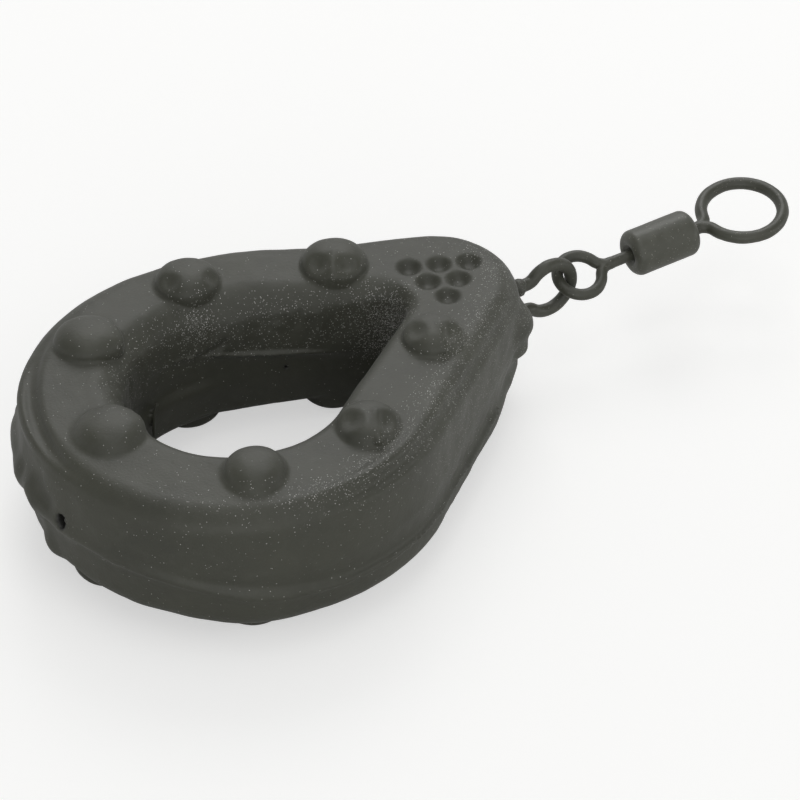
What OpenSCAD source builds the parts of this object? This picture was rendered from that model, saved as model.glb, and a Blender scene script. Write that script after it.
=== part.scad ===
// A coated ring lead for fishing: a lead ring drawn out to a nose, lying flat on low nubs,
// with a wire loop cast into the nose and a barrel swivel linked through the loop.
// Lengths are in millimetres. +X runs from the round end to the swivel and +Z is up.
// The origin lies under the middle of the whole assembly, on the surface that it rests on.

/* [Lead] */
// Radius of the round end at the parting line, over the coating
body_r = 16.8; // [15:0.1:22]
// Radius of the nose at the parting line
nose_r = 7.1; // [6:0.1:9]
// Distance from the middle of the round end to the middle of the nose
nose_x = 19.5; // [18:0.1:24]
// Thickness between the two flat faces
body_t = 10.6; // [9:0.1:14]
// Radius of the outer shoulders
shoulder_r = 2.1; // [1.4:0.1:2.6]
// How far the outer walls lean in from the parting line to a shoulder
body_draft = 0.45; // [0.1:0.05:0.9]
// How far the bead of flash on the parting line stands out
flash_out = 0.5; // [0.2:0.05:0.8]
// Half the height of that bead
flash_half_h = 0.65; // [0.4:0.05:1.2]

/* [Hole] */
// Radius of the hole's round end at the parting line
hole_r = 8.2; // [7:0.1:9.2]
// Radius of the hole's narrow end
hole_nose_r = 1.5; // [1.2:0.1:2]
// Distance from the middle of the round end to the middle of the narrow end
hole_nose_x = 14.4; // [12:0.1:15]
// Radius of the hole's lips
lip_r = 1.1; // [0.8:0.1:1.4]
// How far the hole's walls lean out from the parting line to a lip
hole_draft = 0.5; // [0.1:0.05:0.8]

/* [Nubs] */
// Radius of a nub where it leaves the flat face
nub_r = 2.85; // [2:0.05:3.1]
// Height of a nub over the flat face
nub_h = 1.75; // [1:0.05:2]
// Radius of the small flat that is worn on each crown
crown_r = 0.6; // [0.3:0.05:1]
// Where the nubs sit between the hole, at 0, and the outer wall, at 1
nub_share = 0.44; // [0.4:0.01:0.5]
// How far along to the nose's middle the last pair of nubs sits
nub_last_share = 0.73; // [0.7:0.01:0.76]

/* [Dimples] */
// Radius of a dimple on the nose, at the flat face
dimple_r = 0.95; // [0.7:0.05:1.1]
// Depth of a dimple
dimple_deep = 0.6; // [0.4:0.05:0.8]
// Spacing of the dimples
dimple_pitch = 2.4; // [2.3:0.05:2.6]

/* [Coating] */
// Thickness of the textured coating
coat_t = 0.4; // [0.25:0.05:0.6]
// Radius of the collar of coating round each leg of the loop
collar_r = 0.85; // [0.8:0.05:1.1]
// How far each collar runs out along its leg
collar_l = 0.9; // [0.6:0.05:1.1]

/* [Wire loop] */
// Diameter of the loop's wire
loop_wire_d = 1.1; // [0.8:0.05:1.2]
// Radius of the loop along the middle of its wire
loop_r = 2.2; // [2.1:0.05:2.8]
// Radius of the bends where the loop turns into its legs
loop_bend_r = 1; // [0.8:0.05:1.6]
// Half the distance between the two legs
leg_half_gap = 1.3; // [1.1:0.05:1.6]
// Bare wire between the nose and the bends
leg_out = 1.7; // [0.8:0.1:3]
// Straight length of each leg inside the lead
leg_in = 3.6; // [2.5:0.1:4.5]
// Angle that the buried ends splay by
splay_a = 55; // [30:1:70]
// Straight length of a splayed end
splay_l = 1; // [0.5:0.1:1.4]
// Distance that the loop stands to one side of the nose's middle
loop_side = 1.47; // [0:0.1:2]
// Angle that the loop points to that side
loop_yaw = 5; // [0:1:10]

/* [Swivel] */
// Diameter of the wire of the small eye
eye_wire_d = 1; // [0.8:0.05:1.1]
// Radius of the small eye along the middle of its wire
eye_r = 1.82; // [1.75:0.01:2.4]
// Radius of the small eye's bends into its shank
eye_bend_r = 1.3; // [1:0.1:2]
// Shank that shows between the small eye and the barrel
eye_shank_l = 1.8; // [0.8:0.1:3]
// Outer diameter of the barrel
barrel_d = 3.9; // [3.6:0.1:4.8]
// Length of the barrel
barrel_l = 6; // [5:0.1:8]
// Wall of the barrel
barrel_wall = 0.42; // [0.3:0.02:0.5]
// Radius of the barrel's rolled shoulders
barrel_round_r = 0.75; // [0.5:0.05:0.9]
// Radius of the mouth rolled into each end of the barrel
mouth_r = 0.95; // [0.8:0.05:1.1]
// Diameter of the wire of the line ring
ring_wire_d = 1.08; // [0.9:0.02:1.2]
// Radius of the line ring along the middle of its wire
ring_r = 3.36; // [3:0.02:4.2]
// Radius of the line ring's bends into its shank
ring_bend_r = 1.2; // [1:0.1:2.4]
// Shank that shows between the barrel and the line ring
ring_shank_l = 0.5; // [0.3:0.1:2]

/* [Fits] */
// Radial clearance of a shank in the barrel's end
shank_clear = 0.06; // [0.02:0.01:0.1]
// Gap between the heads and the inside of the barrel
head_clear = 0.15; // [0.1:0.05:0.25]
// Gap between the wires of the loop and the small eye
link_clear = 0.08; // [0.04:0.02:0.2]

/* [Pose] */
// Angle that the swivel rises by, as it lies
swivel_rise = 4.3; // [-10:0.1:20]
// Angle that the swivel points to the side
swivel_yaw = 11.1; // [0:0.1:20]
// Roll of the small eye about the swivel
eye_roll = 22.5; // [0:0.5:40]
// Roll of the line ring about the swivel
ring_roll = 3.8; // [-10:0.2:20]

/* [Hidden] */

$fn = 72;
wire_fn = 32;
// steps round the lead's round end and nose, and across its rounded edges
round_steps = 42;
nose_steps = 16;
edge_steps = 5;
flash_steps = 4;
lip_steps = 4;
// where a collar starts to taper, and its thickness at the tip
collar_share = 0.6;
collar_edge_t = 0.05;
// bends are drawn this much thinner than the wire that they run into
bend_share = 0.98;
// how far each end of a bend runs into the wire beyond it
lap_a = 3;
// how far an eye's bends stop short of the line of its shank
stop_a = 6;

lead_col = [0.30, 0.30, 0.29];
coat_col = [0.26, 0.26, 0.23];
wire_col = [0.33, 0.33, 0.31];
steel_col = [0.42, 0.42, 0.39];

half_t = body_t / 2;
rest_z = half_t + nub_h;

// angle at which the straight flanks leave the round end, outside and in the hole
flank_a = acos((body_r - nose_r) / nose_x);
hole_flank_a = acos((hole_r - hole_nose_r) / hole_nose_x);

// a nub is a ball that passes through its foot circle and the edge of its flat crown
nub_ball_z = (nub_h * nub_h + crown_r * crown_r - nub_r * nub_r) / (2 * nub_h);
nub_ball_r = sqrt(nub_r * nub_r + nub_ball_z * nub_ball_z);
nub_angles = [180, 121, -121, 72, -72];
nub_ring_r = hole_r + nub_share * (body_r - hole_r);
nub_last_x = nub_last_share * nose_x;
nub_last_y = between(flank_y(hole_r, hole_flank_a, nub_last_x), flank_y(body_r, flank_a, nub_last_x), nub_share);
nub_places = concat(
    [for (a = nub_angles) nub_ring_r * [cos(a), sin(a)]],
    [for (side = [1, -1]) [nub_last_x, side * nub_last_y]]
);

// rows of a triangle of dimples, widest row nearest the hole
dimple_rows = 3;
dimple_ball_r = (dimple_r * dimple_r + dimple_deep * dimple_deep) / (2 * dimple_deep);
dimple_row_step = dimple_pitch * sin(60);
dimple_x = (hole_nose_x + hole_nose_r + nose_x + nose_r + hole_draft + lip_r - shoulder_r) / 2 - dimple_row_step;

loop_wire_r = loop_wire_d / 2;
loop_neck_x = sqrt(pow(loop_r + loop_bend_r, 2) - pow(leg_half_gap + loop_bend_r, 2));
loop_neck_a = atan2(leg_half_gap + loop_bend_r, loop_neck_x);
loop_root_x = nose_x + sqrt(nose_r * nose_r - loop_side * loop_side);
loop_x = loop_root_x + leg_out + loop_neck_x;
leg_l = leg_out + leg_in;

eye_wire_r = eye_wire_d / 2;
eye_x = loop_r - loop_wire_r - link_clear - eye_wire_r + eye_r;
eye_meet_x = meet(eye_r, eye_bend_r);
barrel_x = eye_x + eye_meet_x + eye_shank_l;
barrel_r = barrel_d / 2;
barrel_bore_r = barrel_r - barrel_wall;
barrel_end_t = barrel_round_r;
head_r = barrel_bore_r - head_clear;
head_t = (barrel_l - 2 * barrel_end_t - 3 * head_clear) / 2;

ring_wire_r = ring_wire_d / 2;
ring_meet_x = meet(ring_r, ring_bend_r);
ring_x = barrel_x + barrel_l + ring_shank_l + ring_meet_x;

// ends of the assembly along X, which the origin halves
ring_far_x = loop_x + ring_x * cos(swivel_rise) * cos(swivel_yaw) + ring_wire_r
    + ring_r * norm([cos(swivel_rise) * cos(swivel_yaw), roll_x(ring_roll)]);
body_far_x = -(body_r + flash_out);
mid_x = (ring_far_x + body_far_x) / 2;

// X part of the direction across an eye that is rolled about the swivel
function roll_x(roll) = cos(roll) * sin(swivel_yaw) - sin(roll) * sin(swivel_rise) * cos(swivel_yaw);

function between(a, b, share) = a + share * (b - a);

// half width, at x, between flanks that leave a circle of radius r at the angle a
function flank_y(r, a, x) = (r - x * cos(a)) / sin(a);

// where the bends of an eye meet its shank
function meet(r, bend_r) = sqrt(r * r + 2 * r * bend_r);

function arc_points(x, y, rx, ry, from, to, steps) =
    [for (i = [0:steps]) let (a = from + (to - from) * i / steps) [x + rx * cos(a), y + ry * sin(a)]];

// Section of the outer wall from the lower flat face to the upper one: [distance out from the outline, height]
function wall_section(inset) =
    let (h = half_t - inset, round_r = shoulder_r - inset, x = -inset - body_draft - round_r)
    concat(
        arc_points(x, round_r - h, round_r, round_r, -90, 0, edge_steps),
        arc_points(-inset, 0, flash_out, flash_half_h, -90, 90, flash_steps),
        arc_points(x, h - round_r, round_r, round_r, 0, 90, edge_steps)
    );

// Section of the hole's wall from the upper flat face to the lower one
function hole_section(inset) =
    let (h = half_t - inset, round_r = lip_r - inset, x = inset + hole_draft + round_r)
    concat(
        arc_points(x, h - round_r, round_r, round_r, 90, 180, lip_steps),
        [[inset, 0]],
        arc_points(x, round_r - h, round_r, round_r, 180, 270, lip_steps)
    );

// Stations round a teardrop outline: [middle of the round that they lie on, radius, direction]
function stations(r, small_r, far_x, a) = concat(
    [for (i = [0:round_steps]) [0, r, a + (360 - 2 * a) * i / round_steps]],
    [for (i = [0:nose_steps]) [far_x, small_r, -a + 2 * a * i / nose_steps]]
);

function place(station, point) = let (r = station[1] + point[0])
    [station[0] + r * cos(station[2]), r * sin(station[2]), point[1]];

// Ring skinned over one closed section at each station, outer wall and hole together
module ring_skin(inset) {
    outer = stations(body_r, nose_r, nose_x, flank_a);
    inner = stations(hole_r, hole_nose_r, hole_nose_x, hole_flank_a);
    wall = wall_section(inset);
    hole = hole_section(inset);
    n = len(outer);
    m = len(wall) + len(hole);
    polyhedron(
        points = concat(
            [for (point = wall) for (station = outer) place(station, point)],
            [for (point = hole) for (station = inner) place(station, point)]
        ),
        faces = [for (j = [0:m - 1]) for (i = [0:n - 1])
            let (j2 = (j + 1) % m, i2 = (i + 1) % n)
            [j * n + i, j2 * n + i, j2 * n + i2, j * n + i2]],
        convexity = 6
    );
}

// Dome that follows the ball from its middle, inside the lead, up to the flat crown
module nub(inset) {
    r = nub_ball_r - inset;
    top = asin((nub_h - nub_ball_z - inset) / r);
    translate([0, 0, half_t + nub_ball_z]) rotate_extrude()
        polygon(concat([[0, 0]], arc_points(0, 0, r, r, 0, top, edge_steps), [[0, r * sin(top)]]));
}

module nubs(inset) {
    for (flip = [0, 1]) mirror([0, 0, flip]) for (p = nub_places) translate(p) nub(inset);
}

module dimples(inset) {
    for (row = [0:dimple_rows - 1])
        for (i = [0:dimple_rows - 1 - row])
            translate([
                dimple_x + row * dimple_row_step,
                (i - (dimple_rows - 1 - row) / 2) * dimple_pitch,
                half_t + dimple_ball_r - dimple_deep
            ]) sphere(r = dimple_ball_r + inset);
}

// The casting's form, drawn in by the inset
module ring_form(inset) {
    difference() {
        union() {
            ring_skin(inset);
            nubs(inset);
        }
        dimples(inset);
    }
}

// Wire that follows an arc in the XY plane
module wire_arc(x, y, r, from, to, wire_r) {
    translate([x, y, 0]) rotate([0, 0, from]) rotate_extrude(angle = to - from)
        translate([r, 0]) circle(r = wire_r, $fn = wire_fn);
}

// Straight wire of length l from x, y along the angle a
module wire_rod(x, y, a, l, wire_r) {
    translate([x, y, 0]) rotate([0, 0, a]) rotate([0, 90, 0]) cylinder(r = wire_r, h = l, $fn = wire_fn);
}

// Bend between two straighter pieces of wire, which it runs into at both ends
module wire_bend(x, y, r, from, to, wire_r) {
    wire_arc(x, y, r, from - lap_a, to + lap_a, bend_share * wire_r);
}

// Leg of the loop on the +Y side, drawn with the loop's middle at the origin
module loop_leg(wire_r) {
    leg_end_x = -loop_neck_x - leg_l;
    splay_y = leg_half_gap + loop_bend_r;
    wire_bend(-loop_neck_x, splay_y, loop_bend_r, -90, -loop_neck_a, wire_r);
    wire_rod(-loop_neck_x, leg_half_gap, 180, leg_l, wire_r);
    wire_bend(leg_end_x, splay_y, loop_bend_r, -90 - splay_a, -90, wire_r);
    wire_rod(
        leg_end_x - loop_bend_r * sin(splay_a),
        splay_y - loop_bend_r * cos(splay_a),
        180 - splay_a, splay_l, wire_r
    );
}

module loop_frame() {
    translate([loop_x, -loop_side, 0]) rotate([90, 0, -loop_yaw]) children();
}

module loop_form() {
    loop_frame() {
        wire_arc(0, 0, loop_r, loop_neck_a - 180, 180 - loop_neck_a, loop_wire_r);
        for (flip = [0, 1]) mirror([0, flip, 0]) loop_leg(loop_wire_r);
    }
}

// Collars that the coating leaves round the legs at the nose, tapered down to the wire
module collars() {
    loop_frame() for (side = [1, -1])
        translate([-loop_neck_x - leg_out - collar_l, side * leg_half_gap, 0]) rotate([0, 90, 0])
            rotate_extrude() polygon([
                [0, 0],
                [collar_r, 0],
                [collar_r, collar_share * 2 * collar_l],
                [loop_wire_r + collar_edge_t, 2 * collar_l],
                [0, 2 * collar_l]
            ]);
}

// An eye, ring at the origin, with its shank of length l and the upset head that holds it in the barrel
module eye(r, bend_r, wire_r, shank_l) {
    bend_a = atan2(bend_r, meet(r, bend_r));
    shank_x = meet(r, bend_r) - bend_r * sin(stop_a + lap_a);
    head_x = meet(r, bend_r) + shank_l + barrel_end_t + head_clear;
    wire_arc(0, 0, r, bend_a, 360 - bend_a, wire_r);
    for (flip = [0, 1]) mirror([0, flip, 0])
        wire_arc(meet(r, bend_r), bend_r, bend_r, 180 + bend_a - lap_a, 270 - stop_a, bend_share * wire_r);
    wire_rod(shank_x, 0, 0, head_x + head_t - shank_x, wire_r);
    wire_rod(head_x, 0, 0, head_t, head_r);
}

module swivel_frame(roll) {
    translate([loop_x, -loop_side, 0]) rotate([roll, -swivel_rise, -swivel_yaw]) children();
}

// Puts a piece that is drawn about the middle of the round end where the part lies
module as_it_lies() {
    translate([-mid_x, 0, rest_z]) children();
}

// Lead ring, sealed inside its coating
module lead_core() {
    color(lead_col) as_it_lies() difference() {
        ring_form(coat_t);
        loop_form();
    }
}

// Coating over the whole casting, with a collar round each leg of the loop
module textured_coat() {
    color(coat_col) as_it_lies() difference() {
        union() {
            ring_form(0);
            collars();
        }
        ring_form(coat_t);
        loop_form();
    }
}

// Wire loop with its legs cast into the nose
module anchor_loop() {
    color(wire_col) as_it_lies() loop_form();
}

// Eye of the swivel that is linked through the loop
module small_eye() {
    color(steel_col) as_it_lies() swivel_frame(eye_roll)
        translate([eye_x, 0, 0]) eye(eye_r, eye_bend_r, eye_wire_r, eye_shank_l);
}

// Half section of the barrel's one end, from the middle outwards
function barrel_end(hole_r) = concat(
    [[barrel_bore_r, barrel_end_t], [hole_r, barrel_end_t], [hole_r, barrel_end_t / 2], [mouth_r, 0]],
    arc_points(barrel_r - barrel_round_r, barrel_round_r, barrel_round_r, barrel_round_r, -90, 0, edge_steps)
);

function turned_over(points) = [for (i = [len(points) - 1:-1:0]) [points[i][0], barrel_l - points[i][1]]];

// Rolled sleeve that holds both heads
module barrel() {
    color(steel_col) as_it_lies() swivel_frame(0) translate([barrel_x, 0, 0]) rotate([0, 90, 0])
        rotate_extrude() polygon(concat(
            barrel_end(eye_wire_r + shank_clear),
            turned_over(barrel_end(ring_wire_r + shank_clear))
        ));
}

// Large eye that the line is tied to
module line_ring() {
    color(steel_col) as_it_lies() swivel_frame(ring_roll)
        translate([ring_x, 0, 0]) mirror([1, 0, 0]) eye(ring_r, ring_bend_r, ring_wire_r, ring_shank_l);
}

lead_core();
textured_coat();
anchor_loop();
small_eye();
barrel();
line_ring();
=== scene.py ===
# %% [markdown]
# # A coated ring lead with its swivel
#
# The object is a fishing lead: a ring of cast lead drawn out to a nose, dipped in a dark textured
# coating, with a wire loop cast into the nose and a barrel swivel linked through the loop.
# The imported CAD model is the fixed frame. Everything here is made in that frame, so a piece goes
# where the CAD says. Blender works in metres, and this lesson thinks in millimetres.

# %% Load the frame
import itertools
import math

import bpy
import numpy as np
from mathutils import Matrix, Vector


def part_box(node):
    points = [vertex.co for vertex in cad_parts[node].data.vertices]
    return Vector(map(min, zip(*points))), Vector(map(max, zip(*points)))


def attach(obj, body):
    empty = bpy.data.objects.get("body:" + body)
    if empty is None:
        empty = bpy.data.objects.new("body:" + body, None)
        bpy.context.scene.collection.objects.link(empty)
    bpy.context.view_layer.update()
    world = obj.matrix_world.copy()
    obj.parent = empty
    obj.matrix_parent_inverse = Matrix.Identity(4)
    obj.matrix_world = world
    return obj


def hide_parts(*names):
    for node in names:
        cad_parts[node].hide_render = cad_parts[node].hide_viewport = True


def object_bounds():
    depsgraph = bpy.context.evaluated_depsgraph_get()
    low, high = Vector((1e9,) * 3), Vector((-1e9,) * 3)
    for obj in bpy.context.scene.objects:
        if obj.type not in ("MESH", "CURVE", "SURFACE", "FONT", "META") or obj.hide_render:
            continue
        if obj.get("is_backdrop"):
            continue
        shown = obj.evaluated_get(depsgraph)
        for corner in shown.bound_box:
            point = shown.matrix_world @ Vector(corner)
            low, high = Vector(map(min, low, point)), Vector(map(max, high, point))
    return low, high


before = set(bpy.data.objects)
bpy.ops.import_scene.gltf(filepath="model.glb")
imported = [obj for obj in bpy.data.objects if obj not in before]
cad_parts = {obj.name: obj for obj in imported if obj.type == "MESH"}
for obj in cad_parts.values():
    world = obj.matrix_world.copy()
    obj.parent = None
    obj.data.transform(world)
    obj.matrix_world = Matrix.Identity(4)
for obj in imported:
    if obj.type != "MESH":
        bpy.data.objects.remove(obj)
CAD_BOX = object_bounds()
MM = 0.001
print("nodes:", sorted(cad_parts))

# %% [markdown]
# ## Sizes and places
#
# The lead is easiest to think of in its own coordinates: the origin in the middle of the round end,
# on the parting line where the two halves of the mould met, +X towards the swivel. The swivel has
# its own line, which leaves the middle of the wire loop. The sizes are those of the CAD part.

# %% Sizes of the lead, in millimetres
BODY = (16.8, 7.1, 19.5)  # radius of the round end, radius of the nose, distance between them
HOLE = (8.2, 1.5, 14.4)
HALF_T, SHOULDER_R, LIP_R = 5.3, 2.1, 1.1
BODY_DRAFT, HOLE_DRAFT, COAT_T = 0.45, 0.5, 0.4
FLASH_OUT = 0.5
NUB_R, NUB_H = 2.85, 1.75
REST_Z = HALF_T + NUB_H

# %% Sizes of the wires and the barrel, in millimetres
LOOP_WIRE_R, LOOP_R, LOOP_BEND_R = 0.55, 2.2, 1.0
LEG_HALF_GAP, LEG_OUT, LEG_IN, LOOP_SIDE, LOOP_YAW = 1.3, 1.7, 3.6, 1.47, 5.0
EYE = (1.82, 1.3, 0.5, 1.8)  # ring radius, bend radius, wire radius, bare shank
RING = (3.36, 1.2, 0.54, 0.5)
BARREL_R, BARREL_L, BARREL_ROUND_R, BARREL_WALL, MOUTH_R = 1.95, 6.0, 0.75, 0.42, 0.95
LINK_GAP, SHANK_GAP, HEAD_GAP = 0.08, 0.06, 0.15
SWIVEL_RISE, SWIVEL_YAW, EYE_ROLL, RING_ROLL = 4.3, 11.1, 22.5, 3.8


def bend_reach(r, bend_r):
    """Distance from an eye's middle to where its two bends meet the shank."""
    return math.sqrt(r * r + 2 * r * bend_r)


NECK_X = math.sqrt((LOOP_R + LOOP_BEND_R) ** 2 - (LEG_HALF_GAP + LOOP_BEND_R) ** 2)
ROOT_X = BODY[2] + math.sqrt(BODY[1] ** 2 - LOOP_SIDE**2)
LOOP_X = ROOT_X + LEG_OUT + NECK_X
EYE_X = LOOP_R - LOOP_WIRE_R - LINK_GAP - EYE[2] + EYE[0]
BARREL_X = EYE_X + bend_reach(*EYE[:2]) + EYE[3]
RING_X = BARREL_X + BARREL_L + RING[3] + bend_reach(*RING[:2])
print(f"loop at {LOOP_X:.2f} mm; barrel {BARREL_X:.2f} mm and ring {RING_X:.2f} mm along the swivel")

# %% [markdown]
# The row's origin lies under the middle of the whole assembly. The coating's box starts at the bead
# on the parting line, at the round end, and that gives the place of the lead's own origin.

# %% Frames of the lead, the loop and the swivel
LEAD_ORIGIN = np.array([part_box("textured_coat")[0].x / MM + BODY[0] + FLASH_OUT, 0.0, REST_Z])
LOOP_ORIGIN = LEAD_ORIGIN + [LOOP_X, -LOOP_SIDE, 0]


def turn(axis, degrees):
    """Rotation matrix about X, Y or Z."""
    c, s = math.cos(math.radians(degrees)), math.sin(math.radians(degrees))
    i, j = {"X": (1, 2), "Y": (2, 0), "Z": (0, 1)}[axis]
    m = np.eye(3)
    m[i, i] = m[j, j] = c
    m[i, j], m[j, i] = -s, s
    return m


def swivel_turn(roll):
    """How the swivel's line lies, with an eye rolled about it."""
    return turn("Z", -SWIVEL_YAW) @ turn("Y", -SWIVEL_RISE) @ turn("X", roll)


LOOP_TURN = turn("Z", -LOOP_YAW) @ turn("X", 90)
print("lead origin", LEAD_ORIGIN.round(3), "loop origin", LOOP_ORIGIN.round(3))

# %% [markdown]
# ## Shapes as distance fields
#
# Cast metal under a thick coating has no sharp edges: every nub, bead and wire root runs softly into
# its neighbour. Such a form could be sculpted, or lofted and then bevelled edge by edge. Here each
# form is a distance field instead, a function that gives how far a point lies outside the surface.
# Two fields blend with one number, the radius of the fillet between them, which is what the coating
# does on the real lead. A net of quads is then drawn where the field is zero.


# %% Blends between fields
def blend(a, b, k):
    """Union of two fields with a fillet of about k."""
    h = np.clip(0.5 + 0.5 * (b - a) / k, 0, 1)
    return b + (a - b) * h - k * h * (1 - h)


def carve(a, b, k):
    """Field a with b taken out, and the rim softened by k."""
    return -blend(-a, b, k)


def rounded_meet(a, b, r):
    """Where two walls meet in an outer edge of radius r."""
    return np.minimum(np.maximum(a, b), -r) + np.hypot(np.maximum(a + r, 0), np.maximum(b + r, 0))


# %% Distance to an outline, an arc, a rod and a ball
def outline_distance(p, r, small_r, far_x):
    """Distance in plan from a teardrop outline: two rounds and the flanks that touch both."""
    x, y = p[:, 0], np.abs(p[:, 1])
    c = (r - small_r) / far_x
    s = math.sqrt(1 - c * c)
    along = s * x - c * y
    flank = s * y + c * x - r
    nose = np.hypot(x - far_x, y) - small_r
    return np.where(along < 0, np.hypot(x, y) - r, np.where(along > s * far_x, nose, flank))


def arc_distance(p, centre, r, start, end):
    """Distance from the middle line of a bent wire in the XY plane."""
    q = p - [centre[0], centre[1], 0]
    middle, half = math.radians((start + end) / 2), math.radians((end - start) / 2)
    a = np.arctan2(q[:, 1], q[:, 0]) - middle
    a = np.clip((a + math.pi) % (2 * math.pi) - math.pi, -half, half) + middle
    return np.linalg.norm(q - np.stack([r * np.cos(a), r * np.sin(a), np.zeros(len(a))], 1), axis=1)


def rod_distance(p, start, end):
    """Distance from the middle line of a straight rod."""
    start, end = np.array(start, float), np.array(end, float)
    d = end - start
    t = np.clip((p - start) @ d / (d @ d), 0, 1)
    return np.linalg.norm(p - start - t[:, None] * d, axis=1)


def ball_distance(p, centre, r):
    """Distance from a ball."""
    return np.linalg.norm(p - np.array(centre), axis=1) - r


# %% [markdown]
# Castings are never quite even. The unevenness comes from smooth noise whose grain has a real size:
# a random value at each point of a lattice, blended smoothly in between. The lattice repeats after
# 32 points, and there are too many lumps for that to be seen.

# %% Smooth noise with a real grain size
LATTICE_N = 32
LATTICE = np.random.default_rng(7).uniform(-1, 1, (LATTICE_N, LATTICE_N, LATTICE_N))


def lumps(p, size, shift=0.0):
    """Smooth noise from -1 to 1 whose lumps are size millimetres apart."""
    q = p / size + shift
    i = np.floor(q).astype(int)
    f = q - i
    f = f * f * f * (f * (f * 6 - 15) + 10)
    total = 0
    for corner in itertools.product((0, 1), repeat=3):
        wx, wy, wz = (f[:, k] if corner[k] else 1 - f[:, k] for k in range(3))
        at = tuple((i[:, k] + corner[k]) % LATTICE_N for k in range(3))
        total = total + wx * wy * wz * LATTICE[at]
    return total


def layered(p, *layers):
    """Noise of several grains at once, each given by its height, its size and its shift."""
    return sum(height * lumps(p, size, shift) for height, size, shift in layers)


# %% [markdown]
# The net itself: space is cut into small cells, each cell that the surface passes through gets one
# point, and each edge that crosses the surface joins the four points round it into a quad. The
# points then slide along the field's slope until they lie on the surface.


# %% Draw a net of quads on a field's surface
SLAB, SLIDES = 6, 3  # layers of cells worked out at a time; how often the points slide
LEAST_SLOPE = 0.25  # squared slope below which a slide is held back


def net(field, low, high, step):
    """Points and quads of the surface where field is zero, in a box cut into cells of size step."""
    low = np.array(low, float)
    n = np.ceil((np.array(high) - low) / step).astype(int) + 1
    axes = [low[k] + step * np.arange(n[k]) for k in range(3)]
    slabs = [axes[0][i : i + SLAB] for i in range(0, n[0], SLAB)]
    grids = [np.stack(np.meshgrid(slab, axes[1], axes[2], indexing="ij"), -1) for slab in slabs]
    value = np.concatenate([field(g.reshape(-1, 3)).reshape(g.shape[:3]) for g in grids])
    inside = value < 0
    count = sum(
        inside[a : n[0] - 1 + a, b : n[1] - 1 + b, c : n[2] - 1 + c].astype(int)
        for a in (0, 1) for b in (0, 1) for c in (0, 1)
    )
    cells = (count > 0) & (count < 8)
    number = np.full(cells.shape, -1)
    number[cells] = np.arange(cells.sum())
    base = np.argwhere(cells)
    total, hits, quads = np.zeros(base.shape), np.zeros(len(base)), []
    for axis in range(3):
        u, v = (axis + 1) % 3, (axis + 2) % 3
        for du in (0, 1):
            for dv in (0, 1):
                a = base.copy()
                a[:, u] += du
                a[:, v] += dv
                b = a.copy()
                b[:, axis] += 1
                fa, fb = value[tuple(a.T)], value[tuple(b.T)]
                crossed = (fa < 0) != (fb < 0)
                point = (a - base).astype(float)
                point[:, axis] += np.where(crossed, fa / np.where(crossed, fa - fb, 1), 0)
                total += point * crossed[:, None]
                hits += crossed
        first = np.take(inside, range(n[axis] - 1), axis)
        e = np.argwhere(first != np.take(inside, range(1, n[axis]), axis))
        e = e[(e[:, u] > 0) & (e[:, v] > 0) & (e[:, u] < n[u] - 1) & (e[:, v] < n[v] - 1)]
        step_u, step_v = np.eye(3, dtype=int)[u], np.eye(3, dtype=int)[v]
        ring = [e - step_u - step_v, e - step_v, e, e - step_u]
        quad = np.stack([number[tuple(c.T)] for c in ring], 1)
        quads.append(np.where(first[tuple(e.T)][:, None], quad, quad[:, ::-1]))
    points = low + step * (base + total / hits[:, None])
    for _ in range(SLIDES):
        value, slope = field(points), slope_of(field, points, step / 5)
        move = value / np.maximum((slope**2).sum(1), LEAST_SLOPE)
        points = points - np.clip(move, -step / 2, step / 2)[:, None] * slope
    return points, np.concatenate(quads)


def slope_of(field, points, h):
    """The field's slope at each point, which points straight out of the surface."""
    return np.stack([(field(points + h * e) - field(points - h * e)) / (2 * h) for e in np.eye(3)], 1)


# %% Turn a net into a Blender object in the row frame
def piece_from_net(name, points, quads, origin, rotation=None):
    """A smooth mesh object, from points in a piece's own millimetres to the row frame in metres."""
    place = points if rotation is None else points @ rotation.T
    mesh = bpy.data.meshes.new(name)
    mesh.from_pydata(((place + origin) * MM).tolist(), [], quads.tolist())
    mesh.polygons.foreach_set("use_smooth", np.ones(len(mesh.polygons), bool))
    mesh.update()
    piece = bpy.data.objects.new(name, mesh)
    bpy.context.scene.collection.objects.link(piece)
    print(f"{name}: {len(points)} points, {len(quads)} quads")
    return piece


# %% [markdown]
# ## The coated lead
#
# The wall leans out from the shoulders to the parting line, where a bead of flash runs round. The
# mould's two halves didn't quite meet: the lower half lies half a millimetre nearer to us than the
# upper one. So a ledge shows where they meet, outside on the near wall and inside on the far wall of
# the hole, and the nubs on top stand a little off those below. The flat of the neck carries a
# triangle of six round dimples.

# %% Places on the lead, in its own millimetres
TOP_NUBS = [  # x, y, radius, height, fillet where it meets the flat, radius on the near side
    (14.47, 6.3, 2.65, 1.7, 0.2, 2.75),
    (4.11, 11.75, 2.6, 1.5, 0.2, 2.5),
    (-6.2, 10.6, 2.7, 1.4, 0.2, 2.55),
    (-11.12, 0.9, 2.6, 1.15, 0.6, 2.7),
    (-5.6, -9.6, 2.3, 1.35, 0.5, 2.7),
    (4.23, -10.7, 2.35, 1.35, 0.4, 2.6),
    (14.63, -5.78, 2.4, 1.4, 0.25, 2.4),
]
NUB_FILLET, NUBS_OFF = 0.3, (-0.6, -0.3)  # the lower nubs lie off the mould's own places by NUBS_OFF
MOULD_NUBS = [
    (14.23, 5.9), (3.7, 11.39), (-6.17, 10.27), (-11.98, 0),
    (-6.17, -10.27), (3.7, -11.39), (14.23, -5.9),
]
BOTTOM_NUBS = [
    (x + NUBS_OFF[0], y + NUBS_OFF[1], NUB_R, NUB_H, NUB_FILLET, NUB_R) for x, y in MOULD_NUBS
]
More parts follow.
